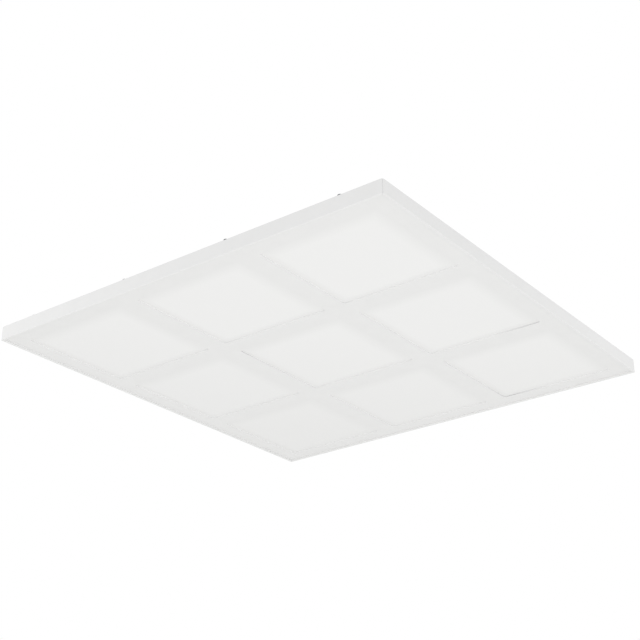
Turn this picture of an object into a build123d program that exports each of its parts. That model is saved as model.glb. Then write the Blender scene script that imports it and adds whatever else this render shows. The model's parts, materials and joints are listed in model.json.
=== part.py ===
from build123d import *
from math import atan2, degrees, hypot, radians, tan
import os

# LED ceiling panel with nine light windows in a mitred frame, and its driver on the back.
# Millimetres. The front rim's face is z = 0, and +Z points up into the ceiling.
# The origin is the middle of that face, and the driver lies along X.

os.makedirs("parts", exist_ok=True)

# Overall size
panel_side = 595.0
rail_height = 18.0
corner_radius = 3.0
mitre_gap = 0.12

# Section of a frame rail
rail_wall = 1.4
rim_width = 3.0
rim_thickness = 2.2
rim_rounding = 0.8
rim_chamfer = 0.3
back_chamfer = 0.3
web_thickness = 1.2
key_channel_width = 5.6
key_channel_height = 2.4
screw_slot_inset = 3.3
screw_slot_width = 2.2
slot_wall = 1.2

# Sheets that slide into the rails
sheet_edge_gap = 0.4
web_gap = 0.1
grid_thickness = 1.0
diffuser_thickness = 2.0
tray_thickness = 0.8

# Light windows
windows_across = 3
border_width = 25.6
bar_width = 28.3
window_radius = 4.0

# Reflector pockets behind the windows
mouth_margin = 2.0
pocket_slope = 12.0
tray_back_gap = 0.3

# LED boards and what they carry
leds_across_window = 2
board_width = 18.0
board_thickness = 1.2
board_end_gap = 5.5
board_screw_gap = 0.2
chip_side = 3.0
chip_height = 0.7
lens_radius = 6.5
lens_foot_height = 1.0
lens_height = 4.6
lens_dimple = 1.2
lens_crown_share = 0.5
lens_bulge_share = 0.85
lens_bulge_height = 0.7
lens_cavity_radius = 2.6
lens_cavity_height = 1.3
lens_hole_gap = 1.0
connector_length = 8.0
connector_width = 7.0
connector_height = 4.0
connector_from_end = 1.0
link_lead_radius = 0.7
link_lead_spacing = 2.6

# Corner keys
key_leg = 32.0
key_gap = 0.2
key_screw_radius = 1.5
key_screw_gap = 0.05
key_screw_from_corner = 22.0
key_access_radius = 1.8

# Back plate
plate_thickness = 0.6
plate_setback = 0.4
rib_width = 12.0
rib_depth = 1.5
rib_end_margin = 62.0
hem_depth = 5.0
hem_gap = 0.4
hem_end_margin = 14.0

# Screws and rivets
recess_width = 0.8
screw_head_rounding = 0.45
rivet_head_rounding = 0.8
back_screw_from_corner = 57.5
back_screws_on_side = 4
back_screw_head_radius = 2.8
back_screw_head_height = 1.7
back_screw_radius = 1.0
screw_hole_gap = 0.3
screw_tip_gap = 1.0
small_head_radius = 2.6
small_head_height = 1.6
small_screw_radius = 1.2
small_screw_tip = 1.2

# Driver case
driver_width = 52.0
driver_height = 24.0
driver_corner = 2.0
shell = 1.8
base_floor = 2.0
base_wall_height = 10.0
lid_gap = 0.3
cover_length = 116.0
bay_length = 40.0
ear_length = 9.0
ear_width = 11.0
ear_thickness = 3.0
ear_spacing = 36.0

# Hinges of the driver's terminal covers
barrel_radius = 1.8
barrel_length = 24.0
lug_length = 6.0
pin_radius = 1.0
pin_running_gap = 0.05
hinge_gap = 0.4

# Driver board and what it carries
driver_board_thickness = 1.6
board_end_margin = 2.0
board_side_gap = 1.2
post_height = 3.0
post_radius = 2.5
post_inset = 6.0
terminal_depth = 12.0
terminal_height = 11.0
terminal_from_cover = 5.0
mains_poles = 3
output_poles = 2
pole_pitch = 7.5
pole_hole_radius = 1.6
pole_hole_depth = 8.0
transformer_length = 26.0
transformer_width = 22.0
transformer_height = 14.0
winding_overhang = 3.0
transformer_leg = 6.0
transformer_x = -12.0
capacitor_height = 13.0
capacitor_rounding = 0.2
input_capacitor_radius = 6.0
input_capacitor_from_end = 20.0
output_capacitor_radius = 5.0
output_capacitor_from_end = 18.0
choke_radius = 6.0
choke_wire_radius = 2.6
choke_from_end = 18.0
choke_from_wall = 0.6
heatsink_length = 22.0
heatsink_height = 13.0
heatsink_thickness = 2.5
heatsink_x = 16.0
heatsink_from_wall = 6.2

# Leads, their clamps, clips and the entry box
inlet_radius = 3.6
grommet_wall = 1.2
grommet_flange = 1.6
grommet_lip = 1.2
grommet_gap = 0.05
grommet_floor_gap = 0.1
inlet_wall_margin = 0.3
clamp_length = 7.0
clamp_width = 32.0
clamp_height = 5.5
clamp_inset = 4.0
clamp_screw_spacing = 22.0
clamp_boss_radius = 3.2
output_lead_radius = 2.1
output_lead_gap = 0.3
lead_run_out = 14.0
lead_run_in = 10.0
lead_bends = [(0.25, 9.0), (0.54, 10.5), (0.81, 3.0)]
lead_bend_share = 0.45
lead_in_box = 10.0
lead_clip_length = 5.0
lead_clip_width = 12.0
lead_clip_wall = 1.5
entry_length = 30.0
entry_width = 26.0
entry_height = 14.0
entry_from_edge = 12.0
entry_ear_length = 9.0

# Swivelling hold-down clips
clip_thickness = 1.2
clip_width = 14.0
clip_pivot_inset = 44.0
clip_foot_length = 9.0
clip_rise = 21.0
clip_arm_length = 52.0
clip_tip_radius = 4.0
clip_lift = 0.2
rivet_radius = 2.0
rivet_running_gap = 0.06
rivet_head_radius = 4.0
rivet_head_height = 1.5
rivet_head_gap = 0.2
rivet_tail = 1.0

# Suspension brackets
bracket_inset = 47.5
bracket_thickness = 1.2
bracket_width = 16.0
bracket_tab = 16.0
bracket_foot = 14.0
bracket_rise = 10.0
suspension_hole_radius = 2.25
bracket_rivet_spacing = 8.0
bracket_rivet_radius = 1.6
bracket_rivet_head_radius = 3.0
bracket_rivet_head_height = 0.9

# Levels, from the front rim up
half_side = panel_side / 2
grid_level = rim_thickness
diffuser_level = grid_level + grid_thickness
tray_level = diffuser_level + diffuser_thickness
lower_web_level = tray_level + tray_thickness + web_gap
key_channel_level = lower_web_level + web_thickness
upper_web_level = key_channel_level + key_channel_height
slot_level = upper_web_level + web_thickness
plate_level = rail_height
plate_top = plate_level + plate_thickness
board_face = plate_level - board_thickness
pocket_top = plate_level - max(board_thickness, rib_depth) - tray_back_gap

# Places that several pieces share
window_side = (panel_side - 2 * border_width - (windows_across - 1) * bar_width) / windows_across
window_pitch = window_side + bar_width
led_pitch = window_side / leds_across_window
sheet_side = panel_side - 2 * (rail_wall + sheet_edge_gap)
key_channel_middle = rail_wall + key_channel_width / 2
slot_outer = screw_slot_inset + screw_slot_width / 2 + slot_wall
rail_inner = rail_wall + key_channel_width + web_thickness
board_half = half_side - rail_inner - board_end_gap
row_middles = [(row - (windows_across - 1) / 2) * window_pitch for row in range(windows_across)]
led_offsets = [(k - (leds_across_window - 1) / 2) * led_pitch for k in range(leds_across_window)]
led_lines = [middle + offset for middle in row_middles for offset in led_offsets]
board_screw_lines = [(k - (windows_across - 2) / 2) * window_pitch for k in range(windows_across - 1)]
rib_lines = sorted(set(row_middles + board_screw_lines) - {0.0})
connector_middle = board_half - connector_length / 2 - connector_from_end
driver_floor = Plane(origin=(0, 0, plate_top))
cover_half = cover_length / 2
driver_half = cover_half + bay_length
driver_length = 2 * driver_half
inner_length = driver_length - 2 * shell
inner_width = driver_width - 2 * shell
grommet_reach = inlet_radius + grommet_wall + grommet_lip
cord_height = base_floor + grommet_reach + grommet_floor_gap
inlet_wall_height = cord_height + grommet_reach + inlet_wall_margin
hinge_reach = cover_half + hinge_gap + barrel_radius
hinge_height = driver_height - barrel_radius
roof_start = hinge_reach + barrel_radius + hinge_gap
ear_middle = driver_half + ear_length / 2
driver_board_level = base_floor + post_height
parts_level = driver_board_level + driver_board_thickness
terminal_middle = cover_half + terminal_from_cover + terminal_depth / 2
driver_board_length = 2 * (terminal_middle + terminal_depth / 2 + board_end_margin)
clamp_middle = driver_half - shell - clamp_inset - clamp_length / 2
entry_middle = half_side - entry_from_edge - entry_length / 2
entry_face = entry_middle - entry_length / 2
clip_pivot_offset = (led_lines[-2] + row_middles[-1]) / 2
clip_pivots = [
    (sx * (half_side - clip_pivot_inset), sy * clip_pivot_offset) for sx in (-1, 1) for sy in (-1, 1)
]
driver_ears = [(sx * ear_middle, sy * ear_spacing / 2) for sx in (-1, 1) for sy in (-1, 1)]
entry_ears = [(entry_middle, s * (entry_width + entry_ear_length) / 2) for s in (-1, 1)]
bracket_corners = [(sx, sy) for sx in (-1, 1) for sy in (-1, 1)]
bracket_hole_reach = half_side - bracket_inset
foot_middle = bracket_hole_reach - bracket_tab / 2 - bracket_foot / 2
bracket_rivet_places = [
    (sx * foot_middle, sy * bracket_hole_reach + s * bracket_rivet_spacing / 2)
    for sx, sy in bracket_corners
    for s in (-1, 1)
]
sides = {"right": 0, "rear": 90, "left": 180, "front": 270}
screwed_sides = (sides["right"], sides["left"])
hemmed_sides = (sides["rear"], sides["front"])
back_screw_pitch = (panel_side - 2 * back_screw_from_corner) / (back_screws_on_side - 1)
back_screw_steps = [
    (k - (back_screws_on_side - 1) / 2) * back_screw_pitch for k in range(back_screws_on_side)
]


def plan_plane(angle, height=0.0):
    """A level plane turned by angle, so that its x axis points out through that side."""
    outward = Vector(1, 0, 0).rotate(Axis.Z, angle)
    return Plane(origin=(0, 0, height), x_dir=outward, z_dir=(0, 0, 1))


def section_plane(angle):
    """The plane of a rail's section: x runs inward from the outer face, and y runs up."""
    outward = Vector(1, 0, 0).rotate(Axis.Z, angle)
    along = Vector(0, 1, 0).rotate(Axis.Z, angle)
    return Plane(origin=outward * half_side, x_dir=outward * -1, z_dir=along)


def corner_of(sketch, x, y):
    """The corner of a sketch that lies at x, y."""
    return sketch.vertices().sort_by(lambda v: hypot(v.X - x, v.Y - y))[0]


def pan_screw(head_radius, head_height, radius, length):
    """A pan-head screw with a cross recess. Its head stands on z = 0 and its shank hangs below."""
    with BuildPart() as screw:
        with BuildSketch(Plane.XY):
            Circle(head_radius)
        extrude(amount=head_height)
        fillet(screw.edges().group_by(Axis.Z)[-1], radius=head_height * screw_head_rounding)
        with BuildSketch(Plane.XY.offset(head_height)):
            Rectangle(head_radius, recess_width)
            Rectangle(recess_width, head_radius)
        extrude(amount=-head_height / 2, mode=Mode.SUBTRACT)
        with BuildSketch(Plane.XY):
            Circle(radius)
        extrude(amount=-length)
    return screw.part


def rivet(head_radius, head_height, radius, length):
    """A round-head rivet. Its head stands on z = 0 and its shank hangs below."""
    with BuildPart() as pin:
        with BuildSketch(Plane.XY):
            Circle(head_radius)
        extrude(amount=head_height)
        fillet(pin.edges().group_by(Axis.Z)[-1], radius=head_height * rivet_head_rounding)
        with BuildSketch(Plane.XY):
            Circle(radius)
        extrude(amount=-length)
    return pin.part


# Frame rails: an extruded section with mitred ends
for side, angle in sides.items():
    with BuildPart() as frame_rail:
        with BuildSketch(section_plane(angle)) as section:
            corner = (Align.MIN, Align.MIN)
            Rectangle(rail_wall, rail_height, align=corner)
            Rectangle(rim_width, rim_thickness, align=corner)
            with Locations((0, lower_web_level), (0, upper_web_level)):
                Rectangle(rail_inner, web_thickness, align=corner)
            with Locations((rail_inner - web_thickness, lower_web_level)):
                Rectangle(web_thickness, slot_level - lower_web_level, align=corner)
            with Locations((0, upper_web_level)):
                Rectangle(slot_outer, rail_height - upper_web_level, align=corner)
            with Locations((screw_slot_inset, slot_level)):
                Rectangle(
                    screw_slot_width,
                    rail_height - slot_level,
                    align=(Align.CENTER, Align.MIN),
                    mode=Mode.SUBTRACT,
                )
            fillet(corner_of(section, 0, 0), radius=rim_rounding)
            chamfer(corner_of(section, rim_width, 0), length=rim_chamfer)
            chamfer(corner_of(section, 0, rail_height), length=back_chamfer)
        extrude(amount=half_side, both=True)
        with BuildSketch(plan_plane(angle)):
            tip = mitre_gap / 2**0.5
            Polygon((tip, 0), (tip + panel_side, -panel_side), (tip + panel_side, panel_side), align=None)
            RectangleRounded(panel_side, panel_side, corner_radius, mode=Mode.INTERSECT)
        extrude(amount=rail_height, mode=Mode.INTERSECT)
        with BuildSketch(plan_plane(angle, upper_web_level)):
            with Locations(
                *[
                    (half_side - key_channel_middle, s * (half_side - key_screw_from_corner))
                    for s in (-1, 1)
                ]
            ):
                Circle(key_access_radius)
        extrude(amount=rail_height - upper_web_level, mode=Mode.SUBTRACT)
    frame_rail.part.label = f"frame_rail_{side}"
    export_step(frame_rail.part, f"parts/frame_rail_{side}.step")

# Corner keys: an L of flat bar in the rails' channels at each corner
key_width = key_channel_width - 2 * key_gap
key_thickness = key_channel_height - 2 * key_gap
key_outer = half_side - rail_wall - key_gap
key_screw_reach = half_side - key_screw_from_corner
key_line = half_side - key_channel_middle
for number, angle in enumerate(sides.values(), start=1):
    with BuildPart() as corner_key:
        with BuildSketch(plan_plane(angle, key_channel_level + key_gap)):
            with Locations((key_outer, key_outer)):
                Rectangle(key_leg, key_width, align=(Align.MAX, Align.MAX))
                Rectangle(key_width, key_leg, align=(Align.MAX, Align.MAX))
            with Locations((key_screw_reach, key_line), (key_line, key_screw_reach)):
                Circle(key_screw_radius + key_screw_gap, mode=Mode.SUBTRACT)
        extrude(amount=key_thickness)
    corner_key.part.label = f"corner_key_{number}"
    export_step(corner_key.part, f"parts/corner_key_{number}.step")

# Grub screws that lock the keys against the lower web
with BuildPart() as key_screws:
    with BuildSketch(Plane.XY.offset(key_channel_level)):
        with PolarLocations(0, len(sides)):
            with Locations((key_screw_reach, key_line), (key_line, key_screw_reach)):
                Circle(key_screw_radius)
    extrude(amount=key_gap + key_thickness)
key_screws.part.label = "key_screws"
export_step(key_screws.part, "parts/key_screws.step")

# Front grid: one sheet with the nine windows cut out
with BuildPart() as front_grid:
    with BuildSketch(Plane.XY.offset(grid_level)):
        Rectangle(sheet_side, sheet_side)
        with GridLocations(window_pitch, window_pitch, windows_across, windows_across):
            RectangleRounded(window_side, window_side, window_radius, mode=Mode.SUBTRACT)
    extrude(amount=grid_thickness)
front_grid.part.label = "front_grid"
export_step(front_grid.part, "parts/front_grid.step")

# Opal diffuser: one flat sheet behind the grid
with BuildPart() as diffuser_sheet:
    with BuildSketch(Plane.XY.offset(diffuser_level)):
        Rectangle(sheet_side, sheet_side)
    extrude(amount=diffuser_thickness)
diffuser_sheet.part.label = "diffuser_sheet"
export_step(diffuser_sheet.part, "parts/diffuser_sheet.step")

# Reflector tray: a formed sheet with a sloping pocket behind each window
mouth_side = window_side + 2 * mouth_margin
pocket_depth = pocket_top - tray_level
pocket_taper = degrees(atan2(pocket_slope, pocket_depth))
with BuildPart() as reflector_tray:
    with BuildSketch(Plane.XY.offset(tray_level)):
        Rectangle(sheet_side, sheet_side)
    extrude(amount=tray_thickness)
    with BuildSketch(Plane.XY.offset(tray_level)):
        with GridLocations(window_pitch, window_pitch, windows_across, windows_across):
            Rectangle(mouth_side + 2 * tray_thickness, mouth_side + 2 * tray_thickness)
    extrude(amount=pocket_depth, taper=pocket_taper)
    with BuildSketch(Plane.XY.offset(tray_level)):
        with GridLocations(window_pitch, window_pitch, windows_across, windows_across):
            Rectangle(mouth_side, mouth_side)
    extrude(amount=pocket_depth - tray_thickness, taper=pocket_taper, mode=Mode.SUBTRACT)
    with BuildSketch(Plane.XY.offset(pocket_top)):
        with Locations(*[(x, y) for x in led_lines for y in led_lines]):
            Circle(lens_radius + lens_hole_gap)
    extrude(amount=-pocket_depth, mode=Mode.SUBTRACT)
reflector_tray.part.label = "reflector_tray"
export_step(reflector_tray.part, "parts/reflector_tray.step")

# LED boards: one strip under the back plate for each line of LEDs
for number, line in enumerate(led_lines, start=1):
    with BuildPart() as led_board:
        with BuildSketch(Plane(origin=(0, line, board_face))):
            Rectangle(2 * board_half, board_width)
            with Locations(*[(x, 0) for x in board_screw_lines]):
                Circle(small_screw_radius + board_screw_gap, mode=Mode.SUBTRACT)
        extrude(amount=board_thickness)
    led_board.part.label = f"led_board_{number}"
    export_step(led_board.part, f"parts/led_board_{number}.step")

# LED chips under the boards
with BuildPart() as led_chips:
    with BuildSketch(Plane.XY.offset(board_face)):
        with Locations(*[(x, y) for x in led_lines for y in led_lines]):
            Rectangle(chip_side, chip_side)
    extrude(amount=-chip_height)
led_chips.part.label = "led_chips"
export_step(led_chips.part, "parts/led_chips.step")

# Lens caps: a foot on the board, a dome with a dimple, and a cavity over the chip
with BuildPart() as lens_cap:
    with BuildSketch(Plane.XZ):
        with BuildLine():
            shoulder = lens_radius - lens_foot_height
            crown = shoulder * lens_crown_share
            bulge = -lens_foot_height - (lens_height - lens_foot_height) * lens_bulge_height
            Polyline(
                (0, -lens_cavity_height),
                (lens_cavity_radius, -lens_cavity_height),
                (lens_cavity_radius, 0),
                (lens_radius, 0),
                (lens_radius, -lens_foot_height),
                (shoulder, -lens_foot_height),
            )
            ThreePointArc(
                (shoulder, -lens_foot_height),
                (shoulder * lens_bulge_share, bulge),
                (crown, -lens_height),
            )
            Line((crown, -lens_height), (0, -lens_height + lens_dimple))
            Line((0, -lens_height + lens_dimple), (0, -lens_cavity_height))
        make_face()
    revolve(axis=Axis.Z)
with BuildPart() as led_lenses:
    with Locations(*[(x, y, board_face) for x in led_lines for y in led_lines]):
        add(lens_cap.part)
led_lenses.part.label = "led_lenses"
export_step(led_lenses.part, "parts/led_lenses.step")

# Screws that hold the LED boards up against the back plate
board_screw = pan_screw(
    small_head_radius, small_head_height, small_screw_radius, board_thickness + plate_thickness / 2
)
with BuildPart() as led_board_screws:
    with Locations(
        *[Location((x, y, board_face), (180, 0, 0)) for x in board_screw_lines for y in led_lines]
    ):
        add(board_screw)
led_board_screws.part.label = "led_board_screws"
export_step(led_board_screws.part, "parts/led_board_screws.step")

# Connectors under the ends of the LED boards
with BuildPart() as board_connectors:
    with BuildSketch(Plane.XY.offset(board_face)):
        with Locations(*[(connector_middle, y) for y in led_lines]):
            Rectangle(connector_length, connector_width)
    extrude(amount=-connector_height)
board_connectors.part.label = "board_connectors"
export_step(board_connectors.part, "parts/board_connectors.step")

# Pairs of leads that link one board's connector to the next
with BuildPart() as link_leads:
    for first, second in zip(led_lines, led_lines[1:]):
        link_start = Plane(
            origin=(connector_middle, first + connector_width / 2, board_face - connector_height / 2),
            x_dir=(1, 0, 0),
            z_dir=(0, 1, 0),
        )
        with BuildSketch(link_start):
            with Locations((-link_lead_spacing / 2, 0), (link_lead_spacing / 2, 0)):
                Circle(link_lead_radius)
        extrude(amount=second - first - connector_width)
link_leads.part.label = "link_leads"
export_step(link_leads.part, "parts/link_leads.step")

# Back plate: sheet with ribs pressed inward, a hem folded down inside the front and rear rails,
# and the holes for what is fixed to it
plate_side = panel_side - 2 * plate_setback
rib_length = panel_side - 2 * rib_end_margin
with BuildPart() as back_plate:
    with BuildSketch(Plane.XY.offset(plate_level)):
        RectangleRounded(plate_side, plate_side, corner_radius)
    extrude(amount=plate_thickness)
    with BuildSketch(Plane.XY.offset(plate_level)):
        with Locations(*[(0, y) for y in rib_lines]):
            SlotOverall(rib_length, rib_width)
    extrude(amount=-rib_depth)
    with BuildSketch(Plane.XY.offset(plate_top)):
        with Locations(*[(0, y) for y in rib_lines]):
            SlotOverall(rib_length - 2 * plate_thickness, rib_width - 2 * plate_thickness)
    extrude(amount=-rib_depth, mode=Mode.SUBTRACT)
    for angle in hemmed_sides:
        with BuildSketch(plan_plane(angle, plate_level)):
            with Locations((half_side - slot_outer - hem_gap, 0)):
                Rectangle(
                    plate_thickness, panel_side - 2 * hem_end_margin, align=(Align.MAX, Align.CENTER)
                )
        extrude(amount=-hem_depth)
    for angle in screwed_sides:
        with BuildSketch(plan_plane(angle, plate_level)):
            with Locations(*[(half_side - screw_slot_inset, step) for step in back_screw_steps]):
                Circle(back_screw_radius + screw_hole_gap)
        extrude(amount=plate_thickness, mode=Mode.SUBTRACT)
    with BuildSketch(Plane.XY.offset(plate_level)):
        with Locations(*driver_ears, *entry_ears):
            Circle(small_screw_radius + screw_hole_gap)
        with Locations(*[(x, y) for x in board_screw_lines for y in led_lines]):
            Circle(small_screw_radius + board_screw_gap)
        with Locations(*clip_pivots):
            Circle(rivet_radius + rivet_running_gap)
        with Locations(*bracket_rivet_places):
            Circle(bracket_rivet_radius + rivet_running_gap)
        with Locations((entry_middle, 0)):
            Circle(output_lead_radius + screw_hole_gap)
    extrude(amount=plate_thickness, mode=Mode.SUBTRACT)
back_plate.part.label = "back_plate"
export_step(back_plate.part, "parts/back_plate.step")

# Screws along the left and right edges that hold the back plate on the rails
back_screw = pan_screw(
    back_screw_head_radius,
    back_screw_head_height,
    back_screw_radius,
    plate_thickness + rail_height - slot_level - screw_tip_gap,
)
with BuildPart() as back_screws:
    with Locations(
        *[
            plan_plane(angle, plate_top).location * Location((half_side - screw_slot_inset, step, 0))
            for angle in screwed_sides
            for step in back_screw_steps
        ]
    ):
        add(back_screw)
back_screws.part.label = "back_screws"
export_step(back_screws.part, "parts/back_screws.step")

# Driver base: a shallow tray with taller walls at the lead inlets, and ears to screw it down
clamp_bosses = [(sx * clamp_middle, sy * clamp_screw_spacing / 2) for sx in (-1, 1) for sy in (-1, 1)]
board_posts = [
    (sx * (driver_board_length / 2 - post_inset), sy * (driver_width / 2 - shell - post_inset))
    for sx in (-1, 1)
    for sy in (-1, 1)
]
with BuildPart() as driver_base:
    with BuildSketch(driver_floor):
        RectangleRounded(driver_length, driver_width, driver_corner)
    extrude(amount=base_wall_height)
    with BuildSketch(driver_floor.offset(base_floor)):
        Rectangle(inner_length, inner_width)
    extrude(amount=base_wall_height - base_floor, mode=Mode.SUBTRACT)
    with BuildSketch(driver_floor.offset(base_floor)):
        with Locations(*[(s * (driver_half - shell / 2), 0) for s in (-1, 1)]):
            Rectangle(shell, inner_width - 2 * lid_gap)
    extrude(amount=inlet_wall_height - base_floor)
    with BuildSketch(driver_floor):
        with Locations(*driver_ears):
            Rectangle(ear_length, ear_width)
    extrude(amount=ear_thickness)
    with BuildSketch(driver_floor.offset(base_floor)):
        with Locations(*board_posts):
            Circle(post_radius)
    extrude(amount=post_height)
    with BuildSketch(driver_floor.offset(base_floor)):
        with Locations(*clamp_bosses):
            Circle(clamp_boss_radius)
    extrude(amount=cord_height - base_floor)
    with BuildSketch(driver_floor):
        with Locations(*driver_ears):
            Circle(small_screw_radius + screw_hole_gap)
    extrude(amount=ear_thickness, mode=Mode.SUBTRACT)
    with BuildSketch(driver_floor.offset(cord_height)):
        with Locations(*clamp_bosses):
            Circle(small_screw_radius + screw_hole_gap)
    extrude(amount=base_floor - cord_height, mode=Mode.SUBTRACT)
    inlet_plane = Plane(
        origin=(-driver_half, 0, plate_top + cord_height), x_dir=(0, 1, 0), z_dir=(1, 0, 0)
    )
    with BuildSketch(inlet_plane):
        Circle(inlet_radius + grommet_wall + grommet_gap)
    extrude(amount=shell, mode=Mode.SUBTRACT)
    outlet_plane = Plane(
        origin=(driver_half - shell, 0, plate_top + cord_height), x_dir=(0, 1, 0), z_dir=(1, 0, 0)
    )
    with BuildSketch(outlet_plane):
        Circle(output_lead_radius + output_lead_gap)
    extrude(amount=shell, mode=Mode.SUBTRACT)
driver_base.part.label = "driver_base"
export_step(driver_base.part, "parts/driver_base.step")

# Driver cover: a lid over the middle, with the fixed lugs of both hinges
lug_middle = barrel_length / 2 + hinge_gap + lug_length / 2
hinge_ends = [
    Plane(origin=(s * hinge_reach, 0, plate_top + hinge_height), x_dir=(s, 0, 0), z_dir=(0, -s, 0))
    for s in (-1, 1)
]
with BuildPart() as driver_cover:
    with BuildSketch(driver_floor.offset(base_wall_height)):
        Rectangle(cover_length, driver_width)
    extrude(amount=driver_height - base_wall_height)
    fillet(driver_cover.edges().filter_by(Axis.X).group_by(Axis.Z)[-1], radius=driver_corner)
    with BuildSketch(driver_floor.offset(base_wall_height)):
        Rectangle(cover_length - 2 * shell, inner_width)
    extrude(amount=driver_height - base_wall_height - shell, mode=Mode.SUBTRACT)
    for hinge_end in hinge_ends:
        for s in (-1, 1):
            with BuildSketch(hinge_end.offset(s * lug_middle)):
                Circle(barrel_radius)
                with Locations((-(hinge_reach - cover_half) / 2, 0)):
                    Rectangle(hinge_reach - cover_half, 2 * barrel_radius)
                Circle(pin_radius + pin_running_gap, mode=Mode.SUBTRACT)
            extrude(amount=lug_length / 2, both=True)
driver_cover.part.label = "driver_cover"
export_step(driver_cover.part, "parts/driver_cover.step")

# Hinge pins of the terminal covers
with BuildPart() as hinge_pins:
    for hinge_end in hinge_ends:
        with BuildSketch(hinge_end):
            Circle(pin_radius)
        extrude(amount=lug_middle + lug_length / 2, both=True)
hinge_pins.part.label = "hinge_pins"
export_step(hinge_pins.part, "parts/hinge_pins.step")

# Terminal covers: a hinged cap over each end of the driver
wall_start = cover_half + hinge_gap
roof_length = driver_half - roof_start
cap_length = driver_half - wall_start
cap_middle = wall_start + cap_length / 2
for name, s, hinge_end in (("mains_cover", -1, hinge_ends[0]), ("output_cover", 1, hinge_ends[1])):
    with BuildPart() as terminal_cover:
        with BuildSketch(driver_floor.offset(driver_height - shell)):
            with Locations((s * (roof_start + roof_length / 2), 0)):
                Rectangle(roof_length, driver_width)
        extrude(amount=shell)
        with BuildSketch(driver_floor.offset(base_wall_height + lid_gap)):
            with Locations(*[(s * cap_middle, t * (driver_width - shell) / 2) for t in (-1, 1)]):
                Rectangle(cap_length, shell)
        extrude(amount=driver_height - shell - base_wall_height - lid_gap)
        with BuildSketch(driver_floor.offset(inlet_wall_height + lid_gap)):
            with Locations((s * (driver_half - shell / 2), 0)):
                Rectangle(shell, driver_width)
        extrude(amount=driver_height - inlet_wall_height - lid_gap)
        with BuildSketch(hinge_end):
            Circle(barrel_radius)
            with Locations(((roof_start - hinge_reach) / 2, barrel_radius - shell / 2)):
                Rectangle(roof_start - hinge_reach, shell)
            Circle(pin_radius + pin_running_gap, mode=Mode.SUBTRACT)
        extrude(amount=barrel_length / 2, both=True)
    terminal_cover.part.label = name
    export_step(terminal_cover.part, f"parts/{name}.step")

# Driver board
with BuildPart() as driver_board:
    with BuildSketch(driver_floor.offset(driver_board_level)):
        Rectangle(driver_board_length, inner_width - 2 * board_side_gap)
    extrude(amount=driver_board_thickness)
driver_board.part.label = "driver_board"
export_step(driver_board.part, "parts/driver_board.step")

# Terminal blocks at the board's ends, with a wire hole for each pole
pole_level = plate_top + parts_level + terminal_height / 2
for name, s, poles in (("mains_terminal", -1, mains_poles), ("output_terminal", 1, output_poles)):
    with BuildPart() as terminal_block:
        with BuildSketch(driver_floor.offset(parts_level)):
            with Locations((s * terminal_middle, 0)):
                Rectangle(terminal_depth, poles * pole_pitch)
        extrude(amount=terminal_height)
        hole_face = Plane(
            origin=(s * (terminal_middle + terminal_depth / 2), 0, pole_level),
            x_dir=(0, s, 0),
            z_dir=(s, 0, 0),
        )
        with BuildSketch(hole_face):
            with GridLocations(pole_pitch, 0, poles, 1):
                Circle(pole_hole_radius)
        extrude(amount=-pole_hole_depth, mode=Mode.SUBTRACT)
    terminal_block.part.label = name
    export_step(terminal_block.part, f"parts/{name}.step")

# Transformer: a closed core round a winding
core_window = transformer_length - 2 * transformer_leg
transformer_floor = Plane(origin=(transformer_x, 0, plate_top + parts_level))
with BuildPart() as transformer_core:
    with BuildSketch(transformer_floor):
        Rectangle(transformer_length, transformer_width)
    extrude(amount=transformer_height)
    with BuildSketch(transformer_floor.offset(transformer_leg / 2)):
        Rectangle(core_window, transformer_width)
    extrude(amount=transformer_height - transformer_leg, mode=Mode.SUBTRACT)
transformer_core.part.label = "transformer_core"
export_step(transformer_core.part, "parts/transformer_core.step")

with BuildPart() as transformer_winding:
    with BuildSketch(transformer_floor.offset(transformer_leg / 2)):
        RectangleRounded(core_window, transformer_width + 2 * winding_overhang, winding_overhang)
    extrude(amount=transformer_height - transformer_leg)
transformer_winding.part.label = "transformer_winding"
export_step(transformer_winding.part, "parts/transformer_winding.step")

# Capacitors, line choke and heat sink on the board
choke_x = choke_from_end - cover_half
choke_y = inner_width / 2 - choke_from_wall - choke_radius - choke_wire_radius
heatsink_y = heatsink_from_wall - inner_width / 2
for name, x, radius in (
    ("input_capacitor", input_capacitor_from_end - cover_half, input_capacitor_radius),
    ("output_capacitor", cover_half - output_capacitor_from_end, output_capacitor_radius),
):
    with BuildPart() as capacitor:
        with BuildSketch(Plane(origin=(x, 0, plate_top + parts_level))):
            Circle(radius)
        extrude(amount=capacitor_height)
        fillet(capacitor.edges().group_by(Axis.Z)[-1], radius=radius * capacitor_rounding)
    capacitor.part.label = name
    export_step(capacitor.part, f"parts/{name}.step")

with BuildPart() as line_choke:
    with BuildSketch(
        Plane(
            origin=(choke_x, choke_y, plate_top + parts_level + choke_wire_radius),
            x_dir=(1, 0, 0),
            z_dir=(0, -1, 0),
        )
    ):
        with Locations((choke_radius, 0)):
            Circle(choke_wire_radius)
    revolve(axis=Axis((choke_x, choke_y, 0), (0, 0, 1)))
line_choke.part.label = "line_choke"
export_step(line_choke.part, "parts/line_choke.step")

with BuildPart() as switch_heatsink:
    with BuildSketch(Plane(origin=(heatsink_x, heatsink_y, plate_top + parts_level))):
        Rectangle(heatsink_length, heatsink_thickness)
    extrude(amount=heatsink_height)
switch_heatsink.part.label = "switch_heatsink"
export_step(switch_heatsink.part, "parts/switch_heatsink.step")

# Screws through the driver's ears and through the entry box's ears
driver_screw = pan_screw(
    small_head_radius,
    small_head_height,
    small_screw_radius,
    ear_thickness + plate_thickness + small_screw_tip,
)
with BuildPart() as driver_screws:
    with Locations(*[(x, y, plate_top + ear_thickness) for x, y in driver_ears]):
        add(driver_screw)
driver_screws.part.label = "driver_screws"
export_step(driver_screws.part, "parts/driver_screws.step")

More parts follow.
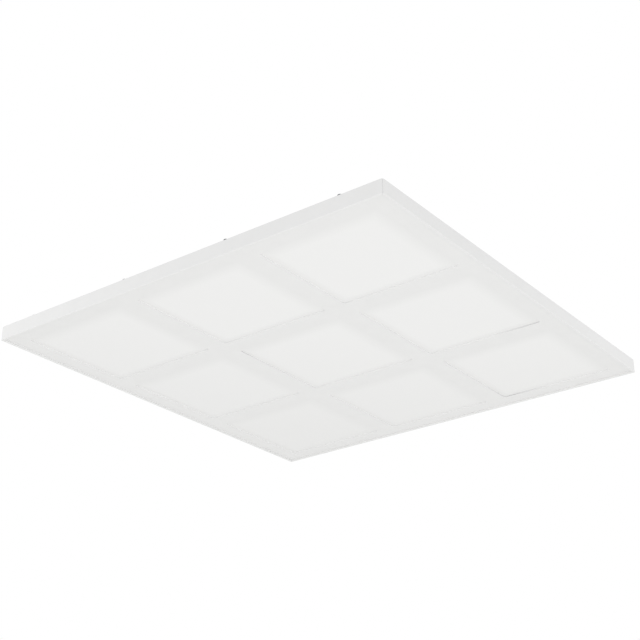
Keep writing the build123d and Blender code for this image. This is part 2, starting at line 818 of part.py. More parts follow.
# Grommet in the driver's mains inlet
grommet_hole = inlet_radius + grommet_wall
with BuildPart() as inlet_grommet:
    with BuildSketch(inlet_plane.offset(-grommet_flange - grommet_gap)):
        Circle(grommet_reach)
    extrude(amount=grommet_flange)
    with BuildSketch(inlet_plane.offset(-grommet_gap)):
        Circle(grommet_hole)
    extrude(amount=shell + 2 * grommet_gap)
    with BuildSketch(inlet_plane.offset(shell + grommet_gap)):
        Circle(grommet_reach)
    extrude(amount=grommet_flange)
    with BuildSketch(inlet_plane.offset(-grommet_flange - grommet_gap)):
        Circle(inlet_radius)
    extrude(amount=shell + 2 * (grommet_flange + grommet_gap), mode=Mode.SUBTRACT)
inlet_grommet.part.label = "inlet_grommet"
export_step(inlet_grommet.part, "parts/inlet_grommet.step")

# Clamps that grip the leads behind the two end walls
for name, s, lead_radius in (
    ("mains_clamp", -1, inlet_radius),
    ("output_clamp", 1, output_lead_radius + output_lead_gap),
):
    with BuildPart() as clamp:
        with BuildSketch(driver_floor.offset(cord_height)):
            with Locations((s * clamp_middle, 0)):
                Rectangle(clamp_length, clamp_width)
            with Locations(*[(s * clamp_middle, t * clamp_screw_spacing / 2) for t in (-1, 1)]):
                Circle(small_screw_radius + screw_hole_gap, mode=Mode.SUBTRACT)
        extrude(amount=clamp_height)
        clamp_face = Plane(
            origin=(s * clamp_middle, 0, plate_top + cord_height), x_dir=(0, 1, 0), z_dir=(1, 0, 0)
        )
        with BuildSketch(clamp_face):
            Circle(lead_radius)
        extrude(amount=clamp_length / 2, both=True, mode=Mode.SUBTRACT)
    clamp.part.label = name
    export_step(clamp.part, f"parts/{name}.step")

clamp_screw = pan_screw(
    small_head_radius,
    small_head_height,
    small_screw_radius,
    clamp_height + cord_height - base_floor - screw_tip_gap,
)
with BuildPart() as clamp_screws:
    with Locations(*[(x, y, plate_top + cord_height + clamp_height) for x, y in clamp_bosses]):
        add(clamp_screw)
clamp_screws.part.label = "clamp_screws"
export_step(clamp_screws.part, "parts/clamp_screws.step")

# Output lead: from the driver's clamp to the entry box, in straight runs and tangent arcs
lead_start = clamp_middle - clamp_length / 2
bends_start = driver_half + lead_run_out
bends_end = entry_face - lead_run_in
lead_points = [
    (lead_start, 0.0),
    (bends_start, 0.0),
    *[(bends_start + share * (bends_end - bends_start), aside) for share, aside in lead_bends],
    (bends_end, 0.0),
    (entry_face + lead_in_box, 0.0),
]
lead_runs = [Vector(*b) - Vector(*a) for a, b in zip(lead_points, lead_points[1:])]
lead_radii = []
for before, after in zip(lead_runs, lead_runs[1:]):
    half_turn = radians(before.get_angle(after) / 2)
    lead_radii.append(lead_bend_share * min(before.length, after.length) / tan(half_turn))
print("output lead radii", [round(radius, 1) for radius in lead_radii])
lead_level = plate_top + cord_height
with BuildPart() as output_lead:
    with BuildLine():
        FilletPolyline(*[(x, y, lead_level) for x, y in lead_points], radius=lead_radii)
    with BuildSketch(Plane(origin=(*lead_points[0], lead_level), x_dir=(0, 1, 0), z_dir=(1, 0, 0))):
        Circle(output_lead_radius)
    sweep()
output_lead.part.label = "output_lead"
export_step(output_lead.part, "parts/output_lead.step")

# Clips that hold the output lead above the plate, at the middle of its longest runs
clip_places = []
for run in (2, 3):
    start = Vector(*lead_points[run])
    clip_places.append((start + lead_runs[run] / 2, lead_runs[run]))
with BuildPart() as lead_clips:
    for middle, run in clip_places:
        clip_face = Plane(
            origin=(middle.X, middle.Y, plate_top),
            x_dir=run.normalized().rotate(Axis.Z, 90),
            z_dir=run.normalized(),
        )
        with BuildSketch(clip_face):
            with Locations((0, cord_height / 2)):
                Rectangle(2 * (output_lead_radius + lead_clip_wall), cord_height)
            with Locations((0, cord_height)):
                Circle(output_lead_radius + lead_clip_wall)
            with Locations((0, lead_clip_wall / 2)):
                Rectangle(lead_clip_width, lead_clip_wall)
            with Locations((0, cord_height)):
                Circle(output_lead_radius + output_lead_gap, mode=Mode.SUBTRACT)
        extrude(amount=lead_clip_length / 2, both=True)
lead_clips.part.label = "lead_clips"
export_step(lead_clips.part, "parts/lead_clips.step")

# Entry box over the hole where the output lead goes into the panel
with BuildPart() as entry_box:
    with BuildSketch(driver_floor):
        with Locations((entry_middle, 0)):
            RectangleRounded(entry_length, entry_width, driver_corner)
    extrude(amount=entry_height)
    fillet(entry_box.edges().group_by(Axis.Z)[-1], radius=driver_corner / 2)
    with BuildSketch(driver_floor):
        with Locations(*entry_ears):
            Rectangle(ear_width, entry_ear_length)
    extrude(amount=ear_thickness)
    with BuildSketch(driver_floor):
        with Locations((entry_middle, 0)):
            Rectangle(entry_length - 2 * shell, entry_width - 2 * shell)
    extrude(amount=entry_height - shell, mode=Mode.SUBTRACT)
    with BuildSketch(driver_floor):
        with Locations(*entry_ears):
            Circle(small_screw_radius + screw_hole_gap)
    extrude(amount=ear_thickness, mode=Mode.SUBTRACT)
    with BuildSketch(Plane(origin=(entry_face, 0, lead_level), x_dir=(0, 1, 0), z_dir=(1, 0, 0))):
        Circle(output_lead_radius + output_lead_gap)
    extrude(amount=shell, mode=Mode.SUBTRACT)
entry_box.part.label = "entry_box"
export_step(entry_box.part, "parts/entry_box.step")

with BuildPart() as entry_box_screws:
    with Locations(*[(x, y, plate_top + ear_thickness) for x, y in entry_ears]):
        add(driver_screw)
entry_box_screws.part.label = "entry_box_screws"
export_step(entry_box_screws.part, "parts/entry_box_screws.step")

# Hold-down clips: a foot on the pivot, a riser, and an arm that swings out over the ceiling grid
clip_level = plate_top + clip_lift
for number, (x, y) in enumerate(clip_pivots, start=1):
    inward = Vector(-1 if x > 0 else 1, 0, 0)
    clip_section = Plane(origin=(x, y, clip_level), x_dir=inward, z_dir=inward.cross(Vector(0, 0, 1)))
    clip_plan = Plane(origin=(x, y, clip_level), x_dir=inward, z_dir=(0, 0, 1))
    with BuildPart() as hold_down_clip:
        with BuildSketch(clip_section):
            with Locations((-clip_width / 2, 0)):
                Rectangle(clip_width / 2 + clip_foot_length, clip_thickness, align=(Align.MIN, Align.MIN))
            with Locations((clip_foot_length, 0)):
                Rectangle(clip_thickness, clip_rise, align=(Align.MAX, Align.MIN))
            with Locations((clip_foot_length - clip_thickness, clip_rise - clip_thickness)):
                Rectangle(clip_arm_length, clip_thickness, align=(Align.MIN, Align.MIN))
        extrude(amount=clip_width / 2, both=True)
        fillet(
            hold_down_clip.edges().filter_by(Axis.Z).sort_by_distance(
                clip_plan.from_local_coords((clip_foot_length + clip_arm_length, 0, clip_rise))
            )[:2],
            radius=clip_tip_radius,
        )
        with BuildSketch(clip_plan):
            Circle(rivet_radius + rivet_running_gap)
        extrude(amount=clip_thickness, mode=Mode.SUBTRACT)
    hold_down_clip.part.label = f"hold_down_clip_{number}"
    export_step(hold_down_clip.part, f"parts/hold_down_clip_{number}.step")

# Rivets that the clips turn on
rivet_seat = clip_lift + clip_thickness + rivet_head_gap
clip_rivet = rivet(
    rivet_head_radius, rivet_head_height, rivet_radius, rivet_seat + plate_thickness + rivet_tail
)
with BuildPart() as clip_rivets:
    with Locations(*[(x, y, plate_top + rivet_seat) for x, y in clip_pivots]):
        add(clip_rivet)
clip_rivets.part.label = "clip_rivets"
export_step(clip_rivets.part, "parts/clip_rivets.step")

# Suspension brackets: a riveted foot, a riser, and a raised tab with the hole for a wire or a rod
for number, (sx, sy) in enumerate(bracket_corners, start=1):
    inward = Vector(-sx, 0, 0)
    hole_place = (sx * bracket_hole_reach, sy * bracket_hole_reach)
    bracket_section = Plane(
        origin=(*hole_place, plate_top), x_dir=inward, z_dir=inward.cross(Vector(0, 0, 1))
    )
    with BuildPart() as suspension_bracket:
        with BuildSketch(bracket_section):
            with Locations((bracket_tab / 2 - bracket_thickness, 0)):
                Rectangle(bracket_foot, bracket_thickness, align=(Align.MIN, Align.MIN))
                Rectangle(bracket_thickness, bracket_rise, align=(Align.MIN, Align.MIN))
            with Locations((-bracket_tab / 2, bracket_rise - bracket_thickness)):
                Rectangle(bracket_tab, bracket_thickness, align=(Align.MIN, Align.MIN))
        extrude(amount=bracket_width / 2, both=True)
        with BuildSketch(Plane(origin=(*hole_place, plate_top + bracket_rise))):
            Circle(suspension_hole_radius)
        extrude(amount=-bracket_thickness, mode=Mode.SUBTRACT)
        with BuildSketch(Plane.XY.offset(plate_top)):
            with Locations(
                *[
                    (sx * foot_middle, sy * bracket_hole_reach + s * bracket_rivet_spacing / 2)
                    for s in (-1, 1)
                ]
            ):
                Circle(bracket_rivet_radius + rivet_running_gap)
        extrude(amount=bracket_thickness, mode=Mode.SUBTRACT)
    suspension_bracket.part.label = f"suspension_bracket_{number}"
    export_step(suspension_bracket.part, f"parts/suspension_bracket_{number}.step")

# Rivets that hold the suspension brackets
bracket_rivet = rivet(
    bracket_rivet_head_radius,
    bracket_rivet_head_height,
    bracket_rivet_radius,
    bracket_thickness + plate_thickness + rivet_tail,
)
with BuildPart() as bracket_rivets:
    with Locations(*[(x, y, plate_top + bracket_thickness) for x, y in bracket_rivet_places]):
        add(bracket_rivet)
bracket_rivets.part.label = "bracket_rivets"
export_step(bracket_rivets.part, "parts/bracket_rivets.step")
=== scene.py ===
import json

import bpy
import numpy as np
from mathutils import Matrix, Vector


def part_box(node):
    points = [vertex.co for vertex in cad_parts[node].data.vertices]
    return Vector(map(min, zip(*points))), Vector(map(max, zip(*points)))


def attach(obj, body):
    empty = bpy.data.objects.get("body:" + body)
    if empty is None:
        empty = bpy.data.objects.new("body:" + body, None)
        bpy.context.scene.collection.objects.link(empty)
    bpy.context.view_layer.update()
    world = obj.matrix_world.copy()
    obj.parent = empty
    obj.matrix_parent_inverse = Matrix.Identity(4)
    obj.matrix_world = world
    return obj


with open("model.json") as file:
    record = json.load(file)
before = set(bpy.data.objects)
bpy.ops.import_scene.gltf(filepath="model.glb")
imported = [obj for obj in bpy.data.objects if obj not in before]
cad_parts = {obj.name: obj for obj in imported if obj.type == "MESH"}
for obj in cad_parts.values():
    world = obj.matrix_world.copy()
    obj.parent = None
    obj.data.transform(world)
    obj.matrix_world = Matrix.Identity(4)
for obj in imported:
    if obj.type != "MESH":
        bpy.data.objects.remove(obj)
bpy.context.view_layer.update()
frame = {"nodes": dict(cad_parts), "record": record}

# LED ceiling panel seen from below, and its back. Metres, in the frame of the CAD.
MM = 0.001

# Sizes and places read from the solids
panel_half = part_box("frame_rail_right")[1][0]
plate_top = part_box("back_plate")[1][2]
driver_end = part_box("output_cover")[1][0]
driver_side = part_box("driver_cover")[1][1]
output_pole_count = 2
terminal_low, terminal_high = np.array(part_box("output_terminal"))
terminal_middle, _, pole_level = (terminal_low + terminal_high) / 2
terminal_face, _, terminal_top = terminal_high
pole_pitch = (terminal_high[1] - terminal_low[1]) / output_pole_count
lead_low, lead_high = np.array(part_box("output_lead"))
lead_start = lead_low[0]
lead_level = (lead_low[2] + lead_high[2]) / 2

# Sizes of the grid's windows, as in the solids
window_pitch = 190.7 * MM
window_side = 162.4 * MM

# Camera: a 36 mm sensor, below the near corner of the panel and looking up at it. The azimuth
# counts from +X towards +Y, and the climb from level, in degrees
view_place = (-1.2653, -0.9542, -0.6982)
view_azimuth, view_climb, view_roll = 37.3579, 25.3809, -0.2057
scene = bpy.context.scene
camera_data = bpy.data.cameras.new("camera")
camera_data.sensor_width = 36.0
camera_data.lens = 74.12
camera_data.clip_start = 0.05
camera = bpy.data.objects.new("camera", camera_data)
camera.matrix_world = (
    Matrix.Translation(view_place)
    @ Matrix.Rotation(np.radians(view_azimuth - 90), 4, "Z")
    @ Matrix.Rotation(np.radians(view_climb + 90), 4, "X")
    @ Matrix.Rotation(np.radians(view_roll), 4, "Z")
)
scene.collection.objects.link(camera)
scene.camera = camera


def colour(code):
    """Linear RGBA of an sRGB hex value."""
    srgb = np.array([int(code[i : i + 2], 16) for i in (1, 3, 5)]) / 255
    linear = np.where(srgb <= 0.04045, srgb / 12.92, ((srgb + 0.055) / 1.055) ** 2.4)
    return (*linear.tolist(), 1.0)


def add(tree, kind, inputs, **settings):
    """Adds one node with its settings and links. An input goes by its name, or by its number
    among those in use. It is a value, a hex colour, a socket, or a node whose first output in
    use is meant."""
    made = tree.nodes.new(kind)
    for key, value in settings.items():
        setattr(made, key, value)
    sockets = [socket for socket in made.inputs if socket.enabled]
    for key, value in inputs.items():
        socket = next(s for number, s in enumerate(sockets) if key in (number, s.name))
        if isinstance(value, bpy.types.Node):
            value = next(output for output in value.outputs if output.enabled)
        if isinstance(value, bpy.types.NodeSocket):
            tree.links.new(value, socket)
        else:
            socket.default_value = colour(value) if isinstance(value, str) else value
    return made


def new_material(name):
    """An empty material, and its tree with the Object coordinates."""
    made = bpy.data.materials.new(name)
    made.use_nodes = True
    made.node_tree.nodes.clear()
    place = add(made.node_tree, "ShaderNodeTexCoord", {}).outputs["Object"]
    return made, made.node_tree, place


def close_material(tree, sockets, height=None, rise=0.0):
    """Ends a material in one Principled shader, with a bump of the given rise in metres."""
    if height is not None:
        bump = add(tree, "ShaderNodeBump", {"Height": height, "Strength": 1.0, "Distance": rise})
        sockets = {**sockets, "Normal": bump}
    shader = add(tree, "ShaderNodeBsdfPrincipled", sockets)
    add(tree, "ShaderNodeOutputMaterial", {"Surface": shader})


# Most of what the lumps give lies in this range
lump_range = {"From Min": 0.3, "From Max": 0.7}


def lumps(tree, place, size, detail=2.0, stretch=(1, 1, 1)):
    """Random lumps that measure size in metres, drawn out by stretch along each axis."""
    scale = [1 / (size * share) for share in stretch]
    scaled = add(tree, "ShaderNodeMapping", {"Vector": place, "Scale": scale})
    return add(
        tree,
        "ShaderNodeTexNoise",
        {"Vector": scaled, "Scale": 1.0, "Detail": detail, "Roughness": 0.55},
    )


def ripple(tree, distance, pitch):
    """A sine along a distance, from -1 to 1, one wave for each pitch in metres."""
    turn = add(
        tree, "ShaderNodeMath", {0: distance, 1: 2 * np.pi / pitch}, operation="MULTIPLY"
    )
    return add(tree, "ShaderNodeMath", {0: turn}, operation="SINE")


# A finish has clouds of colour this many times as wide as its lumps
cloud_share = 14


def coated(
    name, pale, deep, lump, rise, rough, metallic=0.0, stretch=(1, 1, 1), tone=None, **sockets
):
    """A finish with soft lumps of gloss and height, one size in metres, and wider clouds of
    colour. Rise is the lumps' height. A tone function changes the colour on some faces."""
    made, tree, place = new_material(name)
    grain = lumps(tree, place, lump, stretch=stretch)
    gloss = add(
        tree,
        "ShaderNodeMapRange",
        {"Value": grain, **lump_range, "To Min": rough[0], "To Max": rough[1]},
    )
    drift = lumps(tree, place, lump * cloud_share, detail=3.0)
    cloud = add(tree, "ShaderNodeMapRange", {"Value": drift, **lump_range})
    toned = add(tree, "ShaderNodeMix", {"Factor": cloud, "A": pale, "B": deep}, data_type="RGBA")
    if tone:
        toned = tone(tree, place, toned)
    values = {"Base Color": toned, "Roughness": gloss, "Metallic": metallic, **sockets}
    close_material(tree, values, grain, rise)
    return made


def from_window_middle(tree, place):
    """X and Y counted from the middle of the nearest window, as two nodes."""
    axes = add(tree, "ShaderNodeSeparateXYZ", {"Vector": place}).outputs
    half = window_pitch / 2
    return [
        add(tree, "ShaderNodeMath", {0: axes[name], 1: half, 2: -half}, operation="WRAP")
        for name in ("X", "Y")
    ]


def lip_painted_light(tree, place, faces):
    """Painted light on the faces that look in at the grid: they are made paler to lift the shade
    that falls on them, fitted to the photograph. The place times the normal is well below 0 there,
    and 0 or more on the other faces."""
    looks_in, looks_out = -0.15, -0.02
    normal = add(tree, "ShaderNodeNewGeometry", {}).outputs["Normal"]
    outward = add(tree, "ShaderNodeVectorMath", {0: place, 1: normal}, operation="DOT_PRODUCT")
    inward = add(
        tree,
        "ShaderNodeMapRange",
        {"Value": outward, "From Min": looks_in, "From Max": looks_out, "To Min": 1, "To Max": 0},
    )
    # Painted light: the faces that look in turn towards #F0F0F0
    return add(
        tree, "ShaderNodeMix", {"Factor": inward, "A": faces, "B": "#F0F0F0"}, data_type="RGBA"
    )


# Corners of the windows where the grid's cut edges get painted shade: start, full and strength
corner_shade_start, corner_shade_full, corner_shade_strength = 68 * MM, 78 * MM, 0.22

# Places where the photograph shows the grid's cut edges dark, given painted shade on the edges: x,
# y, reach and strength
painted_shade_places = (
    (80 * MM, -271 * MM, 70 * MM, 1.0),
    (-78 * MM, 81 * MM, 38 * MM, 1.0),
    (-10 * MM, 81 * MM, 80 * MM, 0.3),
    (272 * MM, -125 * MM, 60 * MM, 1.0),
)


def edge_painted_light_and_shade(tree, place, faces):
    """Painted light on the punched edges, which are made paler as if lit by the opal sheet beside
    them, with painted shade in the corners of the windows and at four places. All these tones are
    fitted to the photograph."""
    edge_slope, face_slope = 0.4, 0.6
    normal = add(tree, "ShaderNodeNewGeometry", {}).outputs["Normal"]
    upright = add(tree, "ShaderNodeSeparateXYZ", {"Vector": normal}).outputs["Z"]
    slope = add(tree, "ShaderNodeMath", {0: upright}, operation="ABSOLUTE")
    flatness = add(
        tree, "ShaderNodeMapRange", {"Value": slope, "From Min": edge_slope, "From Max": face_slope}
    )
    off_x, off_y = [
        add(tree, "ShaderNodeMath", {0: side}, operation="ABSOLUTE")
        for side in from_window_middle(tree, place)
    ]
    corner = add(tree, "ShaderNodeMath", {0: off_x, 1: off_y}, operation="MINIMUM")
    # Painted shade on the cut edges in the corners of the windows
    edge_shade = add(
        tree,
        "ShaderNodeMapRange",
        {
            "Value": corner,
            "From Min": corner_shade_start,
            "From Max": corner_shade_full,
            "To Max": corner_shade_strength,
        },
    )
    # Painted shade on the cut edges around each listed place
    for x, y, reach, strength in painted_shade_places:
        away = add(tree, "ShaderNodeVectorMath", {0: place, 1: (x, y, 0)}, operation="DISTANCE")
        place_shade = add(
            tree,
            "ShaderNodeMapRange",
            {"Value": away, "From Max": reach, "To Min": strength, "To Max": 0},
        )
        edge_shade = add(tree, "ShaderNodeMath", {0: edge_shade, 1: place_shade}, operation="MAXIMUM")
    # Painted light: the cut edges are paler than the faces, and turn darker where the painted shade
    # falls
    cut = add(
        tree, "ShaderNodeMix", {"Factor": edge_shade, "A": "#F6F6F6", "B": "#D2D2D3"}, data_type="RGBA"
    )
    return add(tree, "ShaderNodeMix", {"Factor": flatness, "A": cut, "B": faces}, data_type="RGBA")


def rearward_pale_tone(tree, place, zinc):
    """Dark towards the front of the panel and bright towards its rear, because the photograph shows
    the front heads dark and hardly shows the rear ones."""
    dark_end, bright_end = -80 * MM, 160 * MM
    rearward = add(tree, "ShaderNodeSeparateXYZ", {"Vector": place}).outputs["Y"]
    toward_rear = add(
        tree,
        "ShaderNodeMapRange",
        {"Value": rearward, "From Min": dark_end, "From Max": bright_end},
    )
    return add(
        tree, "ShaderNodeMix", {"Factor": toward_rear, "A": zinc, "B": "#ECECEC"}, data_type="RGBA"
    )


finishes = {}

# Powder coat on extruded aluminium: satin, with orange peel about 1.5 mm across
# The faces of the lip that look in at the grid get painted light, paler to lift the shade on them
finishes["rail_white"] = coated(
    "satin_powder_coat", "#E8E8E8", "#E6E6E6", 1.5 * MM, 0.010 * MM, (0.36, 0.46), tone=lip_painted_light
)

# Coil coating on the steel sheet of the grid: satin white, as on the rails
# Its punched edges get painted light, with painted shade in the windows' corners and at four places
finishes["grid_white"] = coated(
    "coil_coated_sheet", "#E8E8E8", "#E6E6E6", 1.5 * MM, 0.010 * MM, (0.36, 0.46), tone=edge_painted_light_and_shade
)

# Paint on the back's steel sheet, a little rougher, with orange peel about 2 mm across
finishes["plate_white"] = coated(
    "painted_steel_sheet", "#E6E6E6", "#E2E3E3", 2.0 * MM, 0.015 * MM, (0.42, 0.55)
)

# Formed polycarbonate sheet of the reflector: matt and very white
finishes["reflector_white"] = coated(
    "matt_polycarbonate_sheet", "#F0F0F0", "#ECECEC", 1.2 * MM, 0.010 * MM, (0.60, 0.72)
)

# Spark-eroded ABS of the driver's case: fine pebbles, drawn 0.9 mm across so that they show
finishes["case_white"] = coated(
    "moulded_abs", "#E4E4E0", "#DEDEDA", 0.9 * MM, 0.06 * MM, (0.46, 0.60)
)

# Moulded nylon: smoother and slightly waxy, white on the connectors and grey elsewhere
finishes["connector_white"] = coated(
    "moulded_nylon", "#ECECE8", "#E6E6E0", 0.8 * MM, 0.01 * MM, (0.30, 0.40)
)
finishes["clamp_grey"] = coated(
    "grey_nylon", "#B2B4B5", "#A8AAAC", 0.8 * MM, 0.03 * MM, (0.42, 0.55)
)
finishes["terminal_grey"] = coated(
    "grey_polyamide", "#C2C4C4", "#B8BABA", 0.8 * MM, 0.03 * MM, (0.40, 0.52)
)

# PVC sheath: smooth, with a faint wave about 3 mm long
finishes["lead_white"] = coated(
    "pvc_sheath", "#E8E8E6", "#E2E2E0", 3.0 * MM, 0.05 * MM, (0.30, 0.42)
)

# Vulcanised rubber: matt, almost black
finishes["grommet_rubber"] = coated(
    "vulcanised_rubber", "#3A3A3A", "#303030", 0.8 * MM, 0.04 * MM, (0.62, 0.78)
)

# Zinc-plated spring steel: bright grey crystals a few millimetres across, rolled lengthwise
finishes["zinc_steel"] = coated(
    "zinc_plated_spring_steel", "#C9CBCF", "#B4B7BC", 1.6 * MM, 0.012 * MM, (0.28, 0.46),
    metallic=1.0, stretch=(3, 1, 1),
)

# Machine-cut screws: bright zinc with a clear sheen, and dark zinc with a duller one
finishes["bright_screw"] = coated(
    "bright_zinc_screw", "#CDCFD2", "#BFC1C4", 0.6 * MM, 0.010 * MM, (0.22, 0.36), metallic=1.0
)
finishes["dark_screw"] = coated(
    "dark_zinc_screw", "#76777B", "#68696D", 0.6 * MM, 0.010 * MM, (0.30, 0.44), metallic=1.0,
    tone=rearward_pale_tone,
)

# Drawn aluminium of the rivets: pale grey, soft gloss
finishes["rivet_aluminium"] = coated(
    "drawn_aluminium", "#D6D7D8", "#CBCCCE", 0.7 * MM, 0.010 * MM, (0.30, 0.45), metallic=1.0
)

# White solder mask over aluminium: even, with a satin gloss
finishes["board_aluminium"] = coated(
    "white_solder_mask", "#F0F0EC", "#E8E8E4", 0.9 * MM, 0.008 * MM, (0.28, 0.38)
)

# Phosphor gel: yellow, slightly grainy
finishes["phosphor"] = coated(
    "phosphor_gel", "#F2E07A", "#E8D060", 0.3 * MM, 0.010 * MM, (0.22, 0.34)
)

# Cast acrylic of the lens caps: clear, with a trace of mould texture
finishes["lens_clear"] = coated(
    "clear_acrylic", "#FAFCFC", "#F4F8F8", 1.0 * MM, 0.002 * MM, (0.04, 0.09),
    **{"Transmission Weight": 0.9, "IOR": 1.49},
)

# Sintered ferrite: dark grey, dry
finishes["ferrite"] = coated(
    "sintered_ferrite", "#4A4A4E", "#3C3C40", 0.5 * MM, 0.02 * MM, (0.55, 0.70)
)

# Shrink sleeve of the capacitors: dark and glossy
finishes["capacitor_sleeve"] = coated(
    "shrink_sleeve", "#2C3350", "#252B45", 1.5 * MM, 0.010 * MM, (0.20, 0.30)
)


def wound(name, pale, deep, axis, pitch, rise, rough, metallic=0.0):
    """A finish of laps or turns side by side along one axis, one for each pitch in metres. The
    colour is deeper where the laps sink, as painted shade in the grooves.
    """
    made, tree, place = new_material(name)
    axes = add(tree, "ShaderNodeSeparateXYZ", {"Vector": place}).outputs
    laps = ripple(tree, axes[axis], pitch)
    wave = add(tree, "ShaderNodeMapRange", {"Value": laps, "From Min": -1})
    gloss = add(
        tree,
        "ShaderNodeMapRange",
        {
            "Value": lumps(tree, place, pitch),
            **lump_range,
            "To Min": rough[0],
            "To Max": rough[1],
        },
    )
    # Painted shade: the colour is deeper where the bump is low, in the grooves between laps
    toned = add(tree, "ShaderNodeMix", {"Factor": wave, "A": deep, "B": pale}, data_type="RGBA")
    values = {"Base Color": toned, "Roughness": gloss, "Metallic": metallic}
    close_material(tree, values, wave, rise)
    return made


# Polyester tape: glossy yellow, wound in laps 2 mm wide
finishes["winding_tape"] = wound(
    "polyester_tape", "#E3C84A", "#CBB038", "Z", 2.0 * MM, 0.05 * MM, (0.25, 0.35)
)

# Enamelled copper wire 0.7 mm thick: glossy brown turns, side by side
finishes["copper_wire"] = wound(
    "enamelled_copper", "#C07A4A", "#8A4A28", "X", 0.7 * MM, 0.15 * MM, (0.22, 0.32), metallic=0.8
)


def solder_masked_laminate():
    """Glass laminate under green solder mask: glossy, and the weave stands out faintly."""
    thread_pitch, thread_rise, gloss_lump = 0.8 * MM, 0.01 * MM, 2.0 * MM
    made, tree, place = new_material("green_solder_mask")
    axes = add(tree, "ShaderNodeSeparateXYZ", {"Vector": place}).outputs
    warp, weft = [ripple(tree, axes[name], thread_pitch) for name in ("X", "Y")]
    crossed = add(tree, "ShaderNodeMath", {0: warp, 1: weft}, operation="MULTIPLY")
    weave = add(tree, "ShaderNodeMapRange", {"Value": crossed, "From Min": -1})
    grain = lumps(tree, place, gloss_lump)
    gloss = add(
        tree,
        "ShaderNodeMapRange",
        {"Value": grain, **lump_range, "To Min": 0.24, "To Max": 0.34},
    )
    green = add(
        tree, "ShaderNodeMix", {"Factor": weave, "A": "#1C5A34", "B": "#236B3E"}, data_type="RGBA"
    )
    close_material(tree, {"Base Color": green, "Roughness": gloss}, weave, thread_rise)
    return made


finishes["driver_laminate"] = solder_masked_laminate()


def opal_acrylic_painted_shade():
    """Opal acrylic: even and pale over each pocket, with painted shade near the bars, where the
    pocket's walls slope in behind the sheet. The painted shade is wide on the front and left sides
    of a window and narrow opposite, and a painted falloff of light makes the sheet a shade deeper
    towards the entry box."""
    wide_shade_band, narrow_shade_band, turn_radius, soft_end = 21.5 * MM, 11.5 * MM, 10 * MM, 0.3
    pale_end, deep_end = -0.1, 0.4
    edge = window_side / 2
    made, tree, place = new_material("opal_acrylic_painted_shade")
    off_x, off_y = from_window_middle(tree, place)
    nearest = add(
        tree, "ShaderNodeMath", {0: off_x, 1: off_y, 2: turn_radius}, operation="SMOOTH_MIN"
    )
    farthest = add(
        tree, "ShaderNodeMath", {0: off_x, 1: off_y, 2: turn_radius}, operation="SMOOTH_MAX"
    )
    wide = add(
        tree,
        "ShaderNodeMapRange",
        {"Value": nearest, "From Min": -edge, "From Max": wide_shade_band - edge},
    )
    narrow = add(
        tree,
        "ShaderNodeMapRange",
        {"Value": farthest, "From Min": edge, "From Max": edge - narrow_shade_band},
    )
    # Painted shade near the bars: a wide band on the front and left sides, a narrow one opposite
    margin_shade = add(
        tree, "ShaderNodeMath", {0: wide, 1: narrow, 2: soft_end}, operation="SMOOTH_MIN"
    )
    # Painted falloff of light: the sheet turns a shade deeper towards the entry box
    axes = add(tree, "ShaderNodeSeparateXYZ", {"Vector": place}).outputs
    across = add(tree, "ShaderNodeMath", {0: axes["X"], 1: axes["Y"]}, operation="ADD")
    shade = add(
        tree, "ShaderNodeMapRange", {"Value": across, "From Min": pale_end, "From Max": deep_end}
    )
    middle = add(
        tree, "ShaderNodeMix", {"Factor": shade, "A": "#EEEEEE", "B": "#EBEBEB"}, data_type="RGBA"
    )
    toned = add(
        tree, "ShaderNodeMix", {"Factor": margin_shade, "A": "#E7E7E7", "B": middle}, data_type="RGBA"
    )
    gloss = add(
        tree,
        "ShaderNodeMapRange",
        {"Value": lumps(tree, place, 3 * MM), **lump_range, "To Min": 0.40, "To Max": 0.48},
    )
    close_material(tree, {"Base Color": toned, "Roughness": gloss, "IOR": 1.49})
    return made


finishes["opal"] = opal_acrylic_painted_shade()

# Each CAD node takes the finish of its slot
for row in frame["record"]["subparts"]:
    mesh = frame["nodes"][row["node"]].data
    mesh.materials.clear()
    mesh.materials.append(finishes[row["material_slot"]])


def shell(rings):
    """Points, quads and end fans of a closed shell: rings[i, j] is point j of ring i, quads join
    one ring to the next, and a fan to the middle of each end ring closes it. Where the volume
    that the faces enclose comes out negative, their order is reversed, so that they point
    outwards."""
    count, around = rings.shape[:2]
    step = np.arange(around)
    after = np.roll(step, -1)
    base = np.arange(count - 1)[:, None] * around
    quads = np.stack([base + step, base + after, base + around + after, base + around + step], -1)
    quads = quads.reshape(-1, 4)
    last = (count - 1) * around
    low, high = count * around, count * around + 1
    low_fan = np.stack([after, step, np.full(around, low)], -1)
    high_fan = np.stack([last + step, last + after, np.full(around, high)], -1)
    fans = np.concatenate([low_fan, high_fan])
    points = np.concatenate([rings.reshape(-1, 3), rings[[0, -1]].mean(axis=1)])
    corners = points[np.concatenate([quads[:, :3], quads[:, [0, 2, 3]], fans])]
    volume = np.einsum("ij,ij->i", corners[:, 0], np.cross(corners[:, 1], corners[:, 2])).sum()
    if volume < 0:
        quads, fans = quads[:, ::-1], fans[:, ::-1]
    return points, quads, fans


# Edges that turn by more degrees than this stay sharp
sharp_turn = 40


def piece(name, shells, body, slot_name):
    """One piece of the scene from several closed shells, riding on a body."""
    points, faces, start = [], [], 0
    for shell_points, quads, fans in shells:
        points.append(shell_points)
        faces += (quads + start).tolist() + (fans + start).tolist()
        start += len(shell_points)
    mesh = bpy.data.meshes.new(name)
    mesh.from_pydata(np.concatenate(points).tolist(), [], faces)
    mesh.shade_smooth()
    mesh.set_sharp_from_angle(angle=np.radians(sharp_turn))
    mesh.materials.append(finishes[slot_name])
    made = bpy.data.objects.new(name, mesh)
    scene.collection.objects.link(made)
    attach(made, body)


